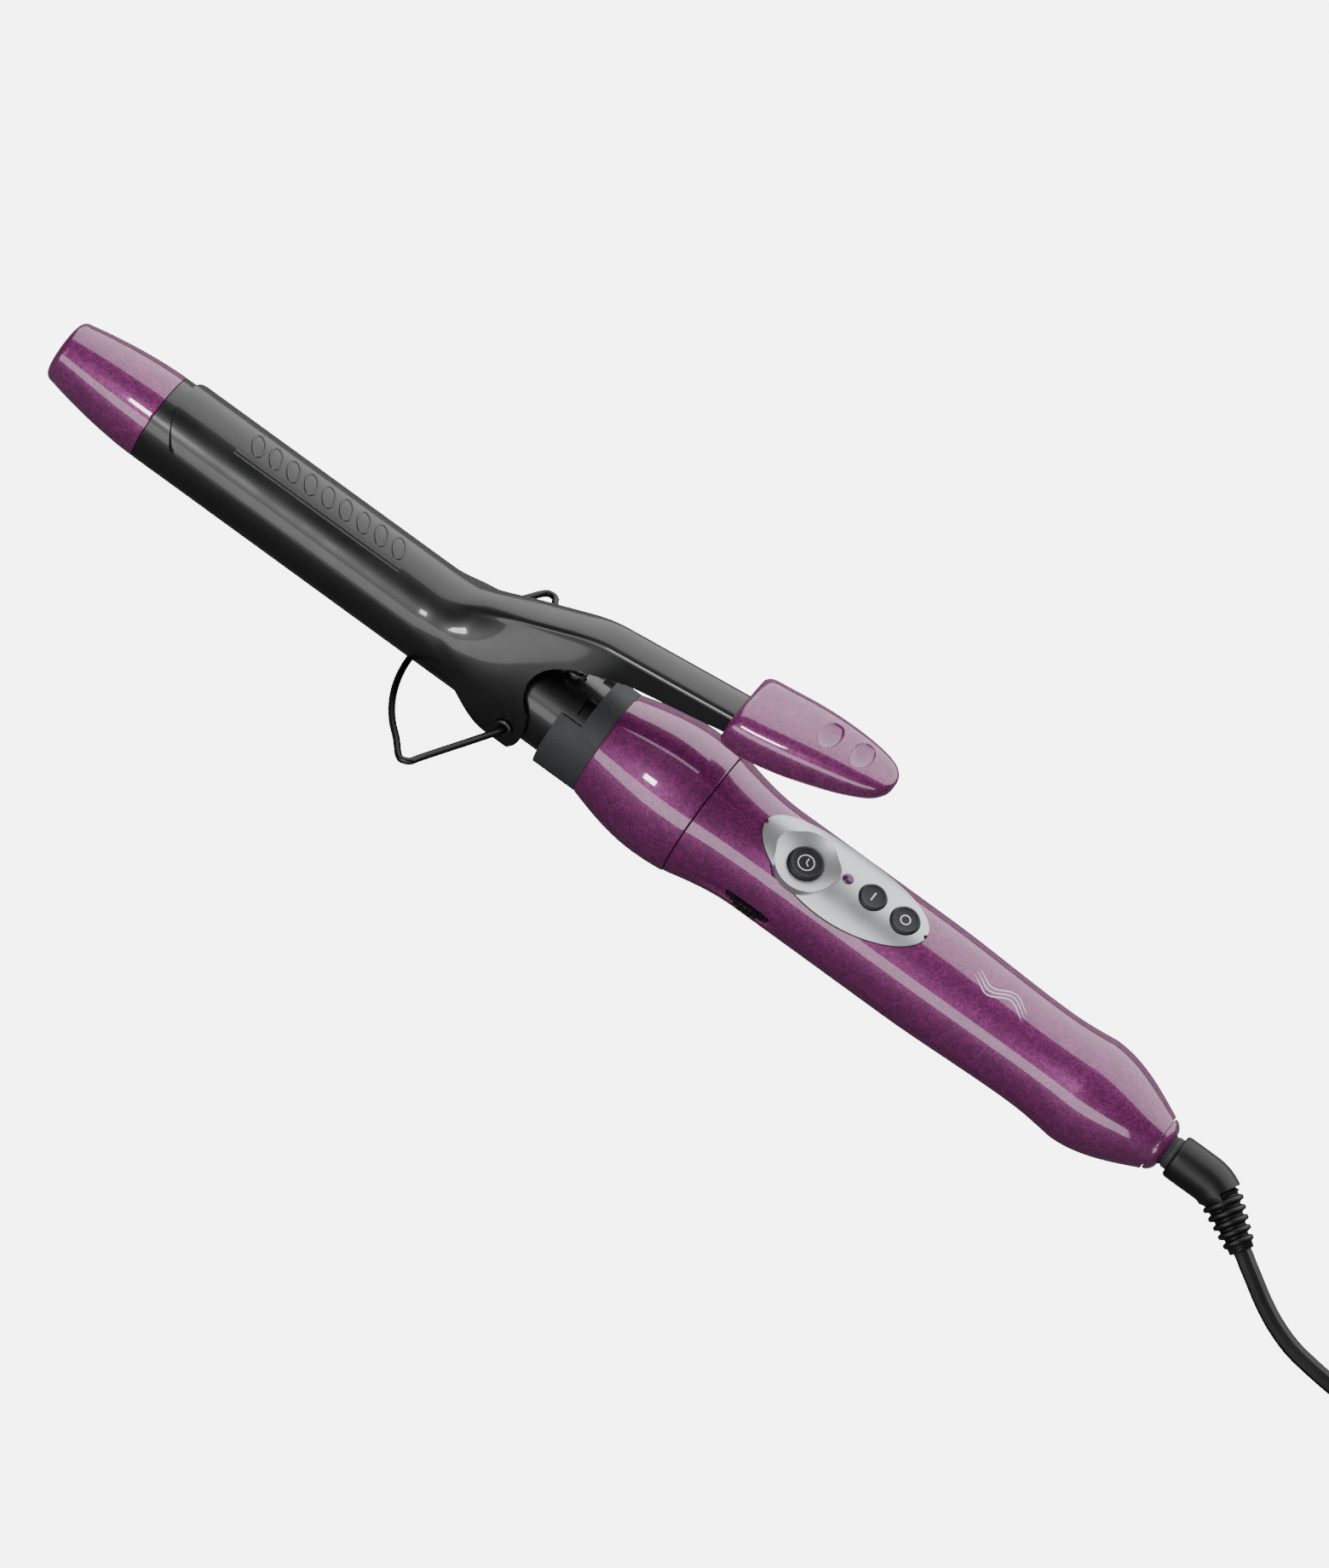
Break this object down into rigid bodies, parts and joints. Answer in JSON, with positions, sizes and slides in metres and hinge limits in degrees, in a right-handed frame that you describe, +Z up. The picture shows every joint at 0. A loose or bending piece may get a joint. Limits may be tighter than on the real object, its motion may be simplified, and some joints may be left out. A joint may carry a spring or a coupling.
{
  "type": "curling iron",
  "caption": "Hand-held electric curling iron with sprung clamp, cool tip, wire rest stand, button panel, thumbwheel and swivel cord.",
  "frame": {"origin": "on the surface that the iron lies on, below the middle of the iron without its cord", "axes": "+X along the barrel from the cool tip to the cord, +Z up on the clamp's side"},
  "size_m": [0.5497, 0.0891, 0.0718],
  "materials": {
    "aluminium": "extruded",
    "black_plastic": "moulded",
    "black_rubber": "matte",
    "blue_plastic": "moulded",
    "board_green": "solder mask",
    "brass": "plain",
    "button_grey": "smooth satin",
    "ceramic_white": "plain",
    "coated_barrel": "satin ceramic coating",
    "coated_clamp": "satin black coating",
    "collar_grey": "fine matte texture",
    "film_amber": "polyimide film",
    "lens_purple": "clear tinted",
    "pearl_purple": "pearlescent gloss lacquer",
    "phenolic": "moulded",
    "silver_panel": "satin silver paint",
    "spring_steel": "drawn wire",
    "stand_wire": "gloss black coated wire",
    "white_plastic": "moulded",
    "wire_insulation": "silicone"
  },
  "bodies": {
    "root": {"barrel_tube": "coated_barrel", "cool_tip": "pearl_purple", "tip_bush": "phenolic", "heater_core": "ceramic_white", "heater_pads": "aluminium", "insulation_sheets": "film_amber", "thermal_fuse": "white_plastic", "heater_leads": "wire_insulation", "spring_saddle": "coated_barrel", "clamp_spring": "spring_steel", "hinge_eyelets": "stand_wire", "neck_collar": "collar_grey", "barrel_holder": "phenolic", "handle_nose": "pearl_purple", "handle_upper_shell": "pearl_purple", "handle_lower_shell": "pearl_purple", "handle_screws": "spring_steel", "tail_ring": "pearl_purple", "button_panel": "silver_panel", "indicator_lens": "lens_purple", "indicator_led": "white_plastic", "control_board": "board_green", "tact_switches": "black_plastic", "lead_terminal": "white_plastic", "potentiometer": "blue_plastic", "mains_leads": "wire_insulation", "contact_springs": "brass", "swivel_bush": "white_plastic", "cord": "black_rubber", "cord_hank": "black_rubber", "cord_tie": "black_plastic", "plug_lead": "black_rubber", "plug_body": "black_rubber", "plug_blades": "brass"},
    "clamp": {"clamp_spoon": "coated_clamp", "thumb_rest": "pearl_purple"},
    "stand": {"stand_wire": "stand_wire"},
    "timer_key": {"timer_button": "button_grey"},
    "on_key": {"on_button": "button_grey"},
    "off_key": {"off_button": "button_grey"},
    "wheel": {"temperature_wheel": "black_plastic", "wheel_spindle": "spring_steel"},
    "swivel": {"swivel_hub": "black_plastic", "contact_rings": "brass", "strain_relief": "black_rubber"}
  },
  "joints": [
    {"name": "clamp_hinge", "type": "hinge", "parent": "root", "child": "clamp", "pos_m": [-0.027, 0, 0.0157], "axis": [0, 1, 0], "range_deg": [0, 11.5], "stiffness_Nm_per_rad": 0.9, "springref_deg": -14.32, "deforming": ["clamp_spring"]},
    {"name": "stand_hinge", "type": "hinge", "parent": "root", "child": "stand", "pos_m": [-0.027, 0, 0.0157], "axis": [0, -1, 0], "range_deg": [0, 80]},
    {"name": "wheel_turn", "type": "hinge", "parent": "root", "child": "wheel", "pos_m": [0.0526, -0.00668, 0.0174], "axis": [0, -0.3007, 0.9537], "range_deg": [-135, 135]},
    {"name": "swivel_turn", "type": "hinge", "parent": "root", "child": "swivel", "pos_m": [0.1817, 0, 0.0195], "axis": [1, 0, 0], "continuous": true},
    {"name": "timer_press", "type": "slide", "parent": "root", "child": "timer_key", "axis": [0, 0.3007, -0.9537], "range_m": [0, 0.0007], "stiffness_N_per_m": 900, "springref_m": -0.0004},
    {"name": "on_press", "type": "slide", "parent": "root", "child": "on_key", "axis": [0, 0.3007, -0.9537], "range_m": [0, 0.0007], "stiffness_N_per_m": 900, "springref_m": -0.0004},
    {"name": "off_press", "type": "slide", "parent": "root", "child": "off_key", "axis": [0, 0.3007, -0.9537], "range_m": [0, 0.0007], "stiffness_N_per_m": 900, "springref_m": -0.0004}
  ]
}
